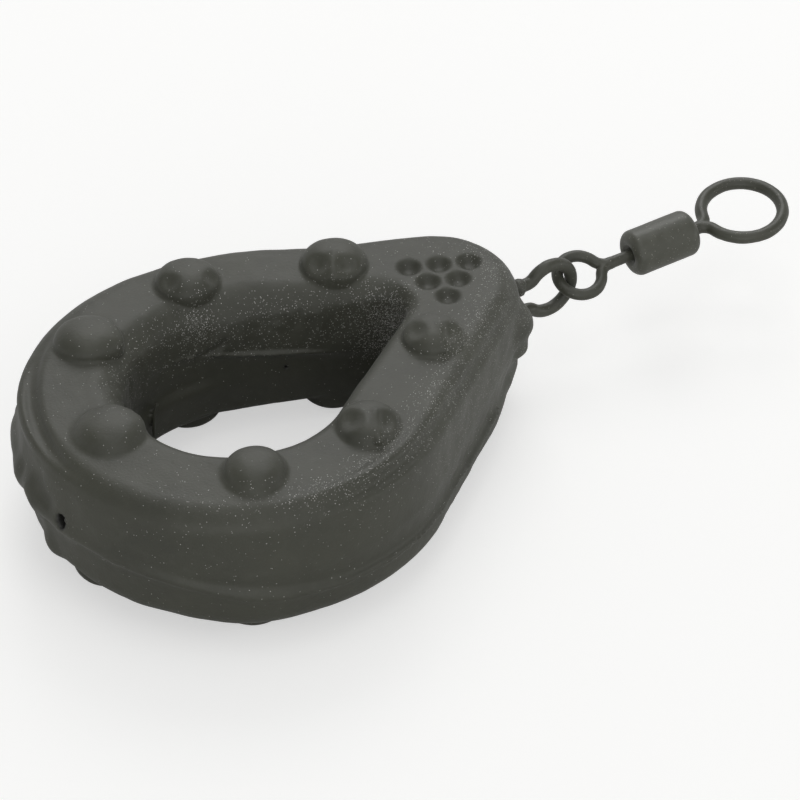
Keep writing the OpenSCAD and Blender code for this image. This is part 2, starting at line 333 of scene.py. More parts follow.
UPPER_OFF, LOWER_OFF = np.array([-0.03, 0.15, 0.0]), np.array([0.07, -0.33, 0.0])
print(f"the halves lie {np.linalg.norm(UPPER_OFF - LOWER_OFF):.2f} mm apart")
print(len(TOP_NUBS), "nubs on top,", len(BOTTOM_NUBS), "below")

# %% The dimples on the neck
DIMPLE_PITCH, DIMPLE_R, DIMPLE_DEEP = 2.4, 0.95, 0.6
DIMPLE_ROW = DIMPLE_PITCH * math.sin(math.radians(60))
HOLE_END = HOLE[1] + HOLE[2] + HOLE_DRAFT + LIP_R
DIMPLE_X = (HOLE_END + BODY[1] + BODY[2] - SHOULDER_R) / 2 - DIMPLE_ROW
DIMPLES = [
    (DIMPLE_X + row * DIMPLE_ROW, (i - (2 - row) / 2) * DIMPLE_PITCH)
    for row in range(3) for i in range(3 - row)
]
DIMPLE_BALL_R = (DIMPLE_R**2 + DIMPLE_DEEP**2) / (2 * DIMPLE_DEEP)
print(len(DIMPLES), f"dimples from x = {DIMPLE_X:.2f} mm; radius of their ball {DIMPLE_BALL_R:.2f} mm")


# %% Soft steps and windows
def ease(x):
    """A soft step from 0 to 1."""
    return 1 / (1 + np.exp(-np.clip(x, -30, 30)))


def hump(x, middle, width):
    """A soft window that is 1 in the middle."""
    return np.exp(-(((x - middle) / width) ** 2))


def compass(p):
    """Direction of each point from the middle of the round end, in degrees from +X towards +Y."""
    return np.degrees(np.arctan2(p[:, 1], p[:, 0])) % 360


def far_side(p):
    """1 on the far side of the hole, 0 on the near side."""
    return ease((p[:, 1] - 2) / 1.2)


def halves_distance(p, lower, size):
    """Distance from an outline that the two halves drew apart; lower is 1 in the lower half."""
    return outline_distance(p - UPPER_OFF - lower[:, None] * (LOWER_OFF - UPPER_OFF), *size)


# %% [markdown]
# The hole's wall is seen best on its far side. There it leans away above the ledge where the halves
# meet, and below the ledge it is cut under, so that a pale lip stands over a dark band.

# %% The wall of the hole
LEDGE_Z, LEDGE_FALL, LEDGE_SOFT = 0.65, 0.12, 0.06  # height at LEDGE_X, fall per millimetre, softness
LEDGE_X, LEDGE_LIP = 7, 0.3
FAR_LEAN = 1.4  # how far the far wall would lean away at the height of the flat
UNDERCUT, UNDERCUT_DOWN = 0.6, 0.7  # depth, and how far below the ledge it is deepest
LEDGE_FROM, LEAN_TO, LEDGE_TO = 1, 10, 10.8  # x where the ledge starts, the lean ends, the ledge ends


def hole_wall(p):
    """How far inside the hole a point lies: below zero in the metal."""
    x, _, z = p.T
    far = far_side(p)
    ledge = LEDGE_Z - LEDGE_FALL * (x - LEDGE_X) + 0.15 * lumps(p * [1, 0, 0], 1.7, 2.6)
    above, under = np.maximum(z - ledge, 0), np.maximum(ledge - z, 0)
    fades = 1 - 0.85 * ease((x - LEDGE_TO) / 0.8) * np.exp(-under / 1.2)
    lower = ease((ledge - z) / LEDGE_SOFT) * ease((x - LEDGE_FROM) / 0.8) * fades
    lean = FAR_LEAN * far * ease((LEAN_TO - x) / 1.2) * (above / HALF_T) ** 2
    foot = 0.8 * far * hump(x, -0.5, 4) * ease((-1.5 - z) / 0.25)
    lip = LEDGE_LIP * hump(x, 7.6, 3.2) * hump(under, 0, 0.35)
    undercut = UNDERCUT * under / UNDERCUT_DOWN * np.exp(1 - under / UNDERCUT_DOWN)
    bulge = foot + lower * far * (lip - undercut)
    return HOLE_DRAFT * np.abs(z) / HALF_T + lean - bulge - halves_distance(p, lower, HOLE)


# %% [markdown]
# Flash is the thin skin of metal that squeezed out between the mould's halves. It was cut off, and
# the coating rounded what was left to an uneven bead: coarse at the round end, and faint on the side
# that faces us.


# %% The bead of flash
NOISE_RING_R = 9  # the bead's noise is read round a ring of this radius, so that it closes
BEAD = (0.17, -0.12, 0.3)  # radius, then what the near side and the round end add to it
RAGGED = (0.07, -0.04, 0.12)  # how uneven it is, given in the same way


def flash_bead(p, outer, parting, side, near, left):
    """The bead on the parting line, from the distance to the wall and the line's height."""
    at = np.radians(side)
    around = np.stack([NOISE_RING_R * np.cos(at), NOISE_RING_R * np.sin(at), 0 * at], 1)
    wave = 0.3 * lumps(around, 3.1, 3.3)
    size, uneven = (a + b * near + c * left for a, b, c in (BEAD, RAGGED))
    size = size + uneven * (lumps(around, 1.7, 8.1) + lumps(around, 0.8, 1.7))
    return np.hypot(outer - 0.02, (p[:, 2] - parting - wave) / (1.3 + 0.5 * left)) - size


# %% The ring
ROUND_END, TIGHT, ROLL, CRUMPLE = (152, 26), (155, 30), (150, 26), (170, 16)  # middle, width, degrees
PARTING_Z, PARTING_SAG, STEP_SOFT = 0.1, 2.4, 0.22
ROLL_IN, ROLL_Z, ROLL_R = 0.8, 4.15, 0.6  # a roll of coating: in from the wall, height, radius


def ring_field(p):
    """The casting without its nubs: flat faces, leaning walls, soft shoulders and lips."""
    x, y, z = p.T
    side = compass(p)
    near = ease((0.5 * x - y - 4) / 3)  # 1 on the side that faces us
    left = hump(side, *ROUND_END)
    parting = PARTING_Z - near * (PARTING_SAG + 0.03 * x)  # it hangs low on the near side
    outer = halves_distance(p, ease((parting - z) / STEP_SOFT), BODY)
    wall = outer + BODY_DRAFT * np.abs(z) / HALF_T
    shoulder_r = SHOULDER_R - 0.4 * near - 0.2 * hump(side, *TIGHT)
    ring = rounded_meet(wall, np.abs(z) - HALF_T, shoulder_r)
    ring = blend(ring, np.hypot(outer + ROLL_IN, z - ROLL_Z) - ROLL_R * hump(side, *ROLL), 0.3)
    ring = rounded_meet(ring, hole_wall(p), LIP_R + 0.8 * far_side(p) * ease(z / 0.5))
    ring = blend(ring, flash_bead(p, outer, parting, side, near, left), 0.5 + 0.5 * left)
    crumple = hump(side, *CRUMPLE) * hump(z, 0.3, 2.6) * (outer > -2)
    return ring - 0.22 * crumple * lumps(p, 1.5, 6.1)


# %% [markdown]
# Where the top face runs into the outer wall the coating has folds: a groove at the round end, with a
# roll of coating outside it, and along the near flank a narrow crease with a low lip beside it.


# %% Folds along the shoulder
GROOVE_R, CREASE_DEEP, HOLLOW_DEEP, LIP_HIGH = 0.42, 0.8, 0.75, 0.25
HOLLOW = (153, 24)  # middle and width of the groove at the round end, in degrees


def groove(outer, z, at_outer, at_z, r):
    """1 in the middle of a groove that runs round the lead, falling away over r."""
    return np.exp(-((outer - at_outer) ** 2 + (z - at_z) ** 2) / r**2)


def fold_field(p):
    """How deep the shoulder's folds are cut at each point."""
    x, y, z = p.T
    outer, side = outline_distance(p, *BODY), compass(p)
    along = ease((x + 1.5) / 1.2) * ease((-y - 5.5) / 0.5) * ease((22 - x) / 1.5)
    on = np.clip(x - 4, 0, 12)
    crease = along * groove(outer, z, -1.05 + 0.035 * on, 4.7 - 0.05 * on, GROOVE_R)
    lip = hump(x, 0, 6) * ease(-y - 8) * groove(outer, z, -1.9, 5.2, 0.5)
    hollow_z = 4.95 - 0.3 * ease((side - 165) / 5)
    hollow = hump(side, *HOLLOW) * groove(outer, z, -1.3, hollow_z, GROOVE_R)
    return CREASE_DEEP * crease - LIP_HIGH * lip + HOLLOW_DEEP * hollow


# %% [markdown]
# Each nub is a dome. The metal chilled before it had filled the mould, so some nubs carry a ridge or
# small hollows on the side that faces us, and three of them run out softly into the flat.


# %% The dome of a nub
NEAR = np.array([-0.633, -0.774])  # the plan direction that faces us
NUB_SUNK = 0.12  # how deep a nub's foot lies in the flat
DOME_POWER = 2.6  # 2 would make the dome an ellipsoid; more makes its crown flatter


def dome(p, x, y, r, h, side, near_r):
    """A dome with a base radius r, or near_r on the side that faces us, and a height h."""
    q = p - [x, y, side * (HALF_T - NUB_SUNK)]
    along, across = q[:, :2] @ NEAR, q[:, 1] * NEAR[0] - q[:, 0] * NEAR[1]
    long_r = r + (near_r - r) * ease(along / 0.3)
    radii = np.stack([long_r, np.full(len(p), r), np.full(len(p), h + NUB_SUNK)], 1)
    q = np.stack([along, across, q[:, 2]], 1) / radii
    flat, tall = (q[:, 0] ** 2 + q[:, 1] ** 2) ** (DOME_POWER / 2), np.abs(q[:, 2]) ** DOME_POWER
    size = (flat + tall) ** (1 / DOME_POWER)
    return size * (size - 1) / np.maximum(np.linalg.norm(q / radii, axis=1), 1e-6)


# %% Ridges and hollows on the nubs
RIDGES = [  # start, end, radius
    ((14.2, 6.0, 6.75), (13.0, 4.5, 5.9), 0.3),
    ((4.8, -10.95, 6.4), (3.35, -13.05, 5.75), 0.3),
    ((15.0, -6.1, 6.45), (14.0, -7.8, 5.8), 0.3),
]
SCOOPS = [  # x, y, z and radius of the ball that each hollow is cut with
    (12.3, 5.9, 7.0, 0.9), (14.2, 4.2, 7.0, 0.8), (5.6, 9.7, 6.8, 0.8), (2.0, 11.6, 6.9, 0.8),
    (2.5, -10.2, 7.1, 1.15), (5.0, -12.4, 7.0, 1.15), (12.95, -5.1, 7.2, 1.1), (15.4, -7.4, 7.0, 1.0),
]
print(len(RIDGES), "ridges and", len(SCOOPS), "hollows")

# %% [markdown]
# Small faults of casting and dipping make the lead look real: drops of coating at the loop's legs,
# lobes on the nose, pinholes, and places where the wall stands out or sinks in.


# %% Drops, lobes, pinholes and swells
def on_nose(away, degrees, z):
    """A place round the middle of the nose, at height z."""
    return BODY[2] + away * math.cos(math.radians(degrees)), away * math.sin(math.radians(degrees)), z


BLOBS = [  # middle, radius
    ((ROOT_X + 0.25, -LOOP_SIDE + 0.1, 2.0), 0.4),
    ((ROOT_X + 0.15, -LOOP_SIDE - 0.5, -0.1), 0.42),
    (on_nose(6.4, -41, 1.1), 1.5),
    (on_nose(6.5, -44, -1.0), 1.0),
    ((-15.4, 1.9, -3.7), 1.1),
]
PITS = [  # start, end, radius
    ((-17.6, -0.5, 0.75), (-15, -0.4, 0.8), 0.36),
    ((-17.6, -0.8, 0.42), (-15, -0.7, 0.45), 0.3),
    ((8.2, 4.6, -1.1), (9.4, 6.4, -1.3), 0.13),
]
SWELLS = [  # middle, radius, height, which is below zero where the wall sinks in
    ((23.8, -6.4, -3.4), 3.0, -0.6),
    ((10.5, 13.3, 3.8), 4.5, 0.4),
    ((-9, -14.5, -3.5), 4.0, 0.3),
]
print(len(BLOBS), "drops and lobes,", len(PITS), "pinholes,", len(SWELLS), "swells")


# %% Coating on the legs of the loop
CREEP_R, CREEP_OUT = 0.7, 0.9  # radius, and how far it crept out along the legs


def leg_field(p):
    """Coating that crept up the two legs of the loop, flaked where it ends."""
    root = np.array([LOOP_X, -LOOP_SIDE, 0])
    legs = np.full(len(p), 1e3)
    for side in (1, -1):
        start, end = (
            root + LOOP_TURN @ [d - NECK_X - LEG_OUT, side * LEG_HALF_GAP, 0] for d in (-1, CREEP_OUT)
        )
        legs = np.minimum(legs, rod_distance(p, start, end) - CREEP_R)
    return legs + 0.12 * lumps(p, 0.5, 3.7)


# %% [markdown]
# On the far wall of the hole a cold fold runs up from the ledge, and a thin fin of metal stands at
# its lower end.

# %% The fold and the fin in the hole
FOLD = [(4.3, 7.4, 2.0), (3.5, 7.7, 1.4), (2.2, 8.15, 0.9)]
FIN = [(-2.25, 7.6, -1.0), (-2.8, 7.3, -1.9), (-3.0, 7.1, -3.4)]
FOLD_R, FIN_R = 0.25, 0.2


def path_distance(p, places):
    """Distance from a line through several places."""
    return np.min([rod_distance(p, a, b) for a, b in zip(places, places[1:])], axis=0)


# %% The whole lead as one field
LEG_FILLET, RIDGE_FILLET, FIN_FILLET = 0.4, 0.35, 0.1
BLOB_FILLET = 0.8  # in the drop's own radii
SCOOP_RIM, FOLD_RIM, DIMPLE_RIM, PIT_RIM = 0.6, 0.3, 0.25, 0.08


def lead_field(p):
    """The coated lead: the ring, and all that stands out of it or is cut into it."""
    f = ring_field(p) + fold_field(p)
    for centre, r, height in SWELLS:
        f = f - height * hump(ball_distance(p, centre, 0), 0, r)
    for side, nubs in ((1, TOP_NUBS), (-1, BOTTOM_NUBS)):
        for x, y, r, h, fillet, near_r in nubs:
            f = blend(f, dome(p, x, y, r, h, side, near_r), fillet)
    f = blend(f, leg_field(p), LEG_FILLET)
    for *centre, r in SCOOPS:
        f = carve(f, ball_distance(p, centre, r), SCOOP_RIM)
    for start, end, r in RIDGES:
        f = blend(f, rod_distance(p, start, end) - r, RIDGE_FILLET)
    for centre, r in BLOBS:
        f = blend(f, ball_distance(p, centre, r), BLOB_FILLET * r)
    f = carve(f, path_distance(p, FOLD) - FOLD_R, FOLD_RIM)
    f = blend(f, path_distance(p, FIN) - FIN_R, FIN_FILLET)
    for x, y in DIMPLES:
        ball_z = HALF_T + DIMPLE_BALL_R - DIMPLE_DEEP
        f = carve(f, ball_distance(p, (x, y, ball_z), DIMPLE_BALL_R), DIMPLE_RIM)
    for start, end, r in PITS:
        f = carve(f, rod_distance(p, start, end) - r, PIT_RIM)
    return f


# %% Net of the coated lead
LEAD_BOX = ((-18.2, -18.2, -7.4), (29.2, 18.2, 7.4))
LEAD_STEP, CORE_STEP = 0.2, 0.5
points, quads = net(lead_field, *LEAD_BOX, LEAD_STEP)
out = slope_of(lead_field, points, 0.05)
out /= np.linalg.norm(out, axis=1)[:, None]

# %% [markdown]
# The points then move a little in and out. The whole skin is uneven by less than a tenth of a
# millimetre, the hole's far wall above its ledge is rougher, and so is the flank beside the nose. The
# crowns that the lead rests on stay flat.

# %% Unevenness of the casting
x, y, z = points.T
hole_d = outline_distance(points, *HOLE)
far_wall = ease((1.8 - hole_d) / 0.4) * ease((z - 0.6) / 0.25) * ease(y - 1)
right_flank = ease((outline_distance(points, *BODY) + 2.2) / 0.4) * ease((x - 6) / 3) * ease(-y - 2)
uneven = layered(points, (0.07, 5.3, 0), (0.03, 1.9, 5.5), (0.012, 0.7, 2.2))
uneven += far_wall * (0.17 * lumps(points * [1, 1, 0.45], 1.5, 9.1) + 0.06 * lumps(points, 0.6, 4.4))
uneven += right_flank * layered(points, (0.06, 1.3, 7.7), (0.015, 0.6, 3.1))
resting = ease((-z - REST_Z + 0.5) / 0.08)
points = points + out * (uneven * (1 - resting))[:, None]
coated_lead = piece_from_net("coated_lead", points, quads, LEAD_ORIGIN)
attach(coated_lead, "lead")
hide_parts("textured_coat")

# %% [markdown]
# The bare casting lies inside the coating and fills it. Nothing of it shows, but it is drawn all the
# same, as the coated shape's own field moved inwards by the thickness of the coating.

# %% The casting inside the coating
core_points, core_quads = net(lambda p: lead_field(p) + COAT_T, *LEAD_BOX, CORE_STEP)
bare_casting = piece_from_net("bare_casting", core_points, core_quads, LEAD_ORIGIN)
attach(bare_casting, "lead")
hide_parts("lead_core")

# %% [markdown]
# ## The wires
#
# The loop, the small eye and the large ring are bent from wire and coated like the lead. A curve with
# a round bevel could draw them, but where an eye's two bends run into its shank the coating fills the
# crotch, and a curve can't do that. So the wires are fields too: arcs and rods with a small fillet.


# %% A wire as a piece
WIRE_STEP, WIRE_ROUGH, BARREL_ROUGH = 0.1, 0.015, 0.012


def wire_piece(name, field, low, high, origin, rotation, body, node, rough=WIRE_ROUGH):
    """Net of a coated wire, a little uneven but nowhere thicker than the CAD's: the link stays free."""
    points, quads = net(field, low, high, WIRE_STEP)
    out = slope_of(field, points, 0.03)
    out /= np.linalg.norm(out, axis=1)[:, None]
    uneven = layered(points, (rough, 1.1, 4.4), (rough / 2, 0.45, 6.6)) - 1.5 * rough
    piece = piece_from_net(name, points + out * uneven[:, None], quads, origin, rotation)
    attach(piece, body)
    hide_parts(node)
    return piece


# %% The loop cast into the nose
NECK_A = math.degrees(math.atan2(LEG_HALF_GAP + LOOP_BEND_R, NECK_X))
LEG_END = NECK_X + LEG_OUT + LEG_IN


def loop_field(p):
    """A round loop with two bends that run into two straight legs."""
    q = p.copy()
    q[:, 1] = np.abs(p[:, 1])
    ring = arc_distance(p, (0, 0), LOOP_R, -180 + NECK_A, 180 - NECK_A)
    bend = arc_distance(q, (-NECK_X, LEG_HALF_GAP + LOOP_BEND_R), LOOP_BEND_R, -90, -NECK_A)
    leg = rod_distance(q, (-LEG_END, LEG_HALF_GAP, 0), (-NECK_X, LEG_HALF_GAP, 0))
    return np.minimum(np.minimum(ring, bend), leg) - LOOP_WIRE_R


wire_loop = wire_piece(
    "wire_loop", loop_field, (-LEG_END - 0.8, -3, -0.9), (3, 3, 0.9),
    LOOP_ORIGIN, LOOP_TURN, "lead", "anchor_loop",
)


# %% The form of an eye
CROTCH_BACK, CROTCH_FLAT, CROTCH_R = 0.42, 1.25, 0.55  # the coating between the two bends
HEAD_ROUND_R = 0.15


def eye_field(r, bend_r, wire_r, shank):
    """An eye with its middle at the origin and its shank along +X, with the head inside the barrel."""
    meet = bend_reach(r, bend_r)
    bend_a = math.degrees(math.atan2(bend_r, meet))
    head_x = meet + shank + BARREL_ROUND_R + HEAD_GAP
    head_t = (BARREL_L - 2 * BARREL_ROUND_R - 3 * HEAD_GAP) / 2
    head_r = BARREL_R - BARREL_WALL - HEAD_GAP

    def field(p):
        """The eye's surface: ring and bends, shank, coating in the crotch, and head."""
        q = p.copy()
        q[:, 1] = np.abs(p[:, 1])
        wire = arc_distance(p, (0, 0), r, bend_a, 360 - bend_a)
        bend = arc_distance(q, (meet, bend_r), bend_r, 180 + bend_a, 270)
        rod = rod_distance(p, (meet, 0, 0), (head_x, 0, 0))
        d = blend(np.minimum(wire, bend), rod, 0.12) - wire_r
        in_crotch = np.hypot(q[:, 0] - meet + CROTCH_BACK * bend_r, q[:, 1])
        d = blend(d, np.hypot(in_crotch, CROTCH_FLAT * p[:, 2]) - CROTCH_R * wire_r, 0.3)
        across = np.hypot(p[:, 1], p[:, 2]) - head_r
        through = np.abs(p[:, 0] - head_x - head_t / 2) - head_t / 2
        return blend(d, rounded_meet(across, through, HEAD_ROUND_R), 0.02)

    return field, head_x + head_t


# %% The two eyes of the swivel
def eye_piece(name, size, at_x, roll, flip, body, node):
    """An eye at its place along the swivel's line, turned to face back if flip is true."""
    field, length = eye_field(*size)
    side, deep, spare = size[0] + size[2] + 0.3, 1.7, 0.3
    rotation = swivel_turn(roll) @ np.diag([-1.0, -1.0, 1.0] if flip else [1.0, 1.0, 1.0])
    origin = LOOP_ORIGIN + swivel_turn(0) @ [at_x, 0, 0]
    low, high = (-side, -side, -deep), (length + spare, side, deep)
    return wire_piece(name, field, low, high, origin, rotation, body, node)


eye_by_loop = eye_piece(
    "eye_by_loop", EYE, EYE_X, EYE_ROLL, False, "small_eye", "small_eye"
)
tie_ring = eye_piece(
    "tie_ring", RING, RING_X, RING_ROLL, True, "line_ring", "line_ring"
)


# %% [markdown]
# The barrel is a short brass tube, rolled in at both ends over the heads of the eyes. It could be
# spun from its profile; as a field it gets the same soft coated edges as the rest.


# %% The barrel
def barrel_field(p):
    """A tube along +X with rounded ends and a flared mouth at each bore."""
    r = np.hypot(p[:, 1], p[:, 2])
    end = np.abs(p[:, 0] - BARREL_L / 2) - BARREL_L / 2
    sleeve = rounded_meet(r - BARREL_R, end, BARREL_ROUND_R)
    cavity = np.maximum(r - (BARREL_R - BARREL_WALL), end + BARREL_ROUND_R)
    sleeve = carve(sleeve, cavity, 0.05)
    near_r, far_r = EYE[2] + SHANK_GAP, RING[2] + SHANK_GAP
    bore_r = np.where(p[:, 0] < BARREL_L / 2, near_r, far_r)
    half_round = BARREL_ROUND_R / 2
    flare = r - bore_r - (MOUTH_R - bore_r) * np.clip((end + half_round) / half_round, 0, 2)
    return carve(sleeve, flare * 0.7, 0.1)


SPARE = 0.25  # room round the barrel in the box that its net is drawn in
side = BARREL_R + SPARE
barrel_sleeve = wire_piece(
    "barrel_sleeve", barrel_field, (-SPARE, -side, -side), (BARREL_L + SPARE, side, side),
    LOOP_ORIGIN + swivel_turn(0) @ [BARREL_X, 0, 0], swivel_turn(0),
    "barrel", "barrel", BARREL_ROUGH,
)

# %% [markdown]
# ## Finishes
#
# Colours are written as the sRGB hex values that a colour picker shows, and one function turns them
# to the linear values that Blender works with. One function adds a node with its settings and links.


# %% Colour and node helpers
def colour(hex_value):
    """Linear RGBA of an sRGB hex colour."""
    parts = [int(hex_value[i : i + 2], 16) / 255 for i in (1, 3, 5)]
    return [c / 12.92 if c <= 0.04045 else ((c + 0.055) / 1.055) ** 2.4 for c in parts] + [1.0]


def add(tree, kind, links=None, **settings):
    """Adds a node. Settings name its properties, or after in_ its inputs; links feed its inputs."""
    node = tree.nodes.new(kind)
    for key, value in settings.items():
        if key.startswith("in_"):
            name = key[3:].replace("_", " ")
            node.inputs[int(name) if name.isdigit() else name].default_value = value
        else:
            setattr(node, key, value)
    for key, source in (links or {}).items():
        tree.links.new(source, node.inputs[key])
    return node


def per_metre(millimetres):
    """Scale of a pattern whose features are that many millimetres apart."""
    return 1000 / millimetres


# %% [markdown]
# ### Textured coating
#
# The lead is dipped in a matte, grainy coating, dark grey with a green cast. It scatters most of the
# light, and the little that it mirrors is spread so wide that only a faint sheen lies on upward faces.
# Pale grains of dust and filler show as fine specks, thick along the shoulder by the nose and in the
# narrow end of the hole, sparse on the flats. The coating's own grain is near 0.2 mm; the specks are
# really finer, and are drawn 0.085 mm apart so that they show. A pale painted sheen, tinted like the
# dust, lies on the near flank by the nose, and painted shade makes the inside of each pinhole black.
# The binder is a plastic, so its IOR is near 1.5, and a roughness of one half makes it matte.

# %% Where the dust lies thickest
SPECK_MM, BARE_DUST, MOST_DUST = 0.085, 0.018, 2.4
CLOUD_AT, CLOUD_R = (2.6, 9.0, 3.2), 1.7


def paint(piece, name, values):
    """Writes one value per point, which the coating reads by name."""
    attribute = piece.data.attributes.new(name, "FLOAT", "POINT")
    attribute.data.foreach_set("value", values.astype(np.float32))


x, y, z = points.T
outer_d = outline_distance(points, *BODY)
shoulder = hump(outer_d, -2.2, 1.3) * ease((z - 3.2) / 0.6)
right = ease((x - y - 6) / 5) * ease((2 - y) / 1.5)
corner = hump(x, 16, 1.9) * hump(z, 1.5, 3) * ease((0.8 - hole_d) / 0.3)
flank = ease(outer_d + 1.6) * ease((x + y * 0.2 - 7) / 2) * ease(z + 1)
cloud = hump(ball_distance(points, CLOUD_AT, 0), 0, CLOUD_R)
front = shoulder * hump(x, -1, 6) * ease(-y - 6)
dust = BARE_DUST + 0.24 * shoulder * right + 0.35 * flank * right + 2.4 * corner
dust = dust + 0.2 * far_wall + 0.7 * cloud + 0.2 * front
paint(coated_lead, "dust", np.clip(1.2 * dust, 0, MOST_DUST))
print("dust from", round(float(dust.min()), 2), "to", round(float(dust.max()), 2))

# %% Painted sheen on the near flank, and painted shade inside the pinholes
# Painted sheen: a pale tint on the near flank by the nose, where its sheen lies.
painted_sheen = ease(outer_d + 1.2) * ease((x - 6) / 3) * ease(-y - 2) * ease(z + 3.5)
paint(coated_lead, "painted_sheen", painted_sheen)
# Painted shade: the inside of each pinhole is painted near black.
in_pit = np.min([rod_distance(points, start, end) - r for start, end, r in PITS], axis=0)
paint(coated_lead, "pit_shade", ease((0.06 - in_pit) / 0.03))
print(f"{(painted_sheen > 0.5).mean():.0%} of the points bloom")


# %% The coating's material
# Colours of the painted sheen on the near flank and of the painted shade inside the pinholes.
PAINTED_SHEEN_COLOUR, PAINTED_PIT_SHADE = "#66675F", "#0A0A09"
PATCH_MM, MOTTLE_MM, DRIFT_MM = 6, 0.9, 2.2  # patches of the base colour, mottling, drifts of dust


def coating(name, base, light, dark, speck, dust_level, roughness, grain_mm, grain_height):
    """A matte coating: patchy base colour, pale specks and a fine grain."""
    material = bpy.data.materials.new(name)
    material.use_nodes = True
    tree = material.node_tree
    tree.nodes.clear()
    where = add(tree, "ShaderNodeTexCoord").outputs["Object"]
    patches, mottle, drift, grit = (
        add(tree, "ShaderNodeTexNoise", {"Vector": where}, in_Scale=per_metre(mm), in_Detail=detail)
        for mm, detail in ((PATCH_MM, 3.0), (MOTTLE_MM, 4.0), (DRIFT_MM, 3.0), (grain_mm, 2.0))
    )
    ramp = add(tree, "ShaderNodeValToRGB", {"Fac": patches.outputs["Fac"]})
    for element, (at, tone) in zip(ramp.color_ramp.elements, ((0.35, dark), (0.65, base))):
        element.position, element.color = at, colour(tone)
    share = add(
        tree, "ShaderNodeMapRange", {"Value": mottle.outputs["Fac"]},
        in_From_Min=0.5, in_From_Max=0.75, in_To_Min=0.0, in_To_Max=0.35,
    )
    links = {0: share.outputs[0], 6: ramp.outputs["Color"]}  # a Mix node's colours are inputs 6 and 7
    final = add(tree, "ShaderNodeMix", links, data_type="RGBA", in_7=colour(light))
    grains = add(tree, "ShaderNodeTexVoronoi", {"Vector": where}, in_Scale=per_metre(SPECK_MM))
    links = {0: drift.outputs["Fac"]}
    if dust_level is None:  # as thick as it was painted
        links[1] = add(tree, "ShaderNodeAttribute", attribute_name="dust").outputs["Fac"]
    level = add(tree, "ShaderNodeMath", links, operation="MULTIPLY", in_1=dust_level or 0)
    chance = add(tree, "ShaderNodeSeparateColor", {"Color": grains.outputs["Color"]})
    links = {0: chance.outputs[0], 1: level.outputs[0]}
    some = add(tree, "ShaderNodeMath", links, operation="LESS_THAN")
    round_speck = add(
        tree, "ShaderNodeMapRange", {"Value": grains.outputs["Distance"]},
        in_From_Min=0.25, in_From_Max=0.5, in_To_Min=1.0, in_To_Max=0.0,
    )
    links = {0: some.outputs[0], 1: round_speck.outputs[0]}
    speck_here = add(tree, "ShaderNodeMath", links, operation="MULTIPLY")
    links = {0: speck_here.outputs[0], 1: chance.outputs[1]}
    bright = add(tree, "ShaderNodeMath", links, operation="MULTIPLY")
    # Painted sheen, patchy like the drifts, laid over the near flank.
    painted_sheen = add(tree, "ShaderNodeAttribute", attribute_name="painted_sheen").outputs["Fac"]
    painted_sheen = add(tree, "ShaderNodeMath", {0: painted_sheen, 1: drift.outputs["Fac"]}, operation="MULTIPLY")
    # Painted shade: near black inside the pinholes.
    pit_shade = add(tree, "ShaderNodeAttribute", attribute_name="pit_shade")
    laid_over = ((bright.outputs[0], speck), (painted_sheen.outputs[0], PAINTED_SHEEN_COLOUR), (pit_shade.outputs["Fac"], PAINTED_PIT_SHADE))
    for amount, over in laid_over:
        links = {0: amount, 6: final.outputs[2]}
        final = add(tree, "ShaderNodeMix", links, data_type="RGBA", in_7=colour(over))
    bump = add(
        tree, "ShaderNodeBump", {"Height": grit.outputs["Fac"]},
        in_Strength=1.0, in_Distance=grain_height * MM,
    )
    shader = add(
        tree, "ShaderNodeBsdfPrincipled",
        {"Base Color": final.outputs[2], "Normal": bump.outputs["Normal"]},
        in_Roughness=roughness, in_IOR=1.5,
    )
    sheen = {"Specular IOR Level": 0.65, "Sheen Weight": 0.12, "Sheen Roughness": 0.45}
    for socket, value in sheen.items():
        shader.inputs[socket].default_value = value
    add(tree, "ShaderNodeOutputMaterial", {"Surface": shader.outputs[0]})
    print("finish:", name)
    return material


def dress(piece, material):
    """Gives a piece one finish."""
    piece.data.materials.clear()
    piece.data.materials.append(material)


lead_coating = coating(
    "textured matte coating", "#4A4B40", "#53544A", "#43443A", "#F2F0EC",
    dust_level=None, roughness=0.5, grain_mm=0.22, grain_height=0.02,
)
dress(coated_lead, lead_coating)

# %% [markdown]
# ### Coated wire and sleeve
#
# The swivel's steel wire and brass sleeve were dipped in the same coating, but it lies thinner and
# smoother there, so a broad soft sheen runs along the wire.

# %% Finish of the loop, the eyes and the barrel
WIRE_DUST, SLEEVE_DUST, WIRE_SPECK, WIRE_GRAIN_MM = 0.05, 0.1, "#BDB9AE", 0.25
loop_coating = coating(
    "matte coated loop wire", "#525348", "#5D5E53", "#4A4B41",
    WIRE_SPECK, WIRE_DUST, 0.42, WIRE_GRAIN_MM, 0.02,
)
dress(wire_loop, loop_coating)
for piece in (eye_by_loop, tie_ring):
    eye_coating = coating(
        "matte coated swivel wire", "#515247", "#5B5C52", "#494A40",
        WIRE_SPECK, WIRE_DUST, 0.4, WIRE_GRAIN_MM, 0.015,
    )
    dress(piece, eye_coating)
sleeve_coating = coating(
    "matte coated brass sleeve", "#5C5D53", "#68695F", "#55564C",
    WIRE_SPECK, SLEEVE_DUST, 0.4, WIRE_GRAIN_MM, 0.015,
)
dress(barrel_sleeve, sleeve_coating)

# %% [markdown]
# ### Cast lead
#
# The core is sealed in the coating and never shows, but it is still dull grey cast metal, with the
# slow mottling that lead gets as it cools in the mould.

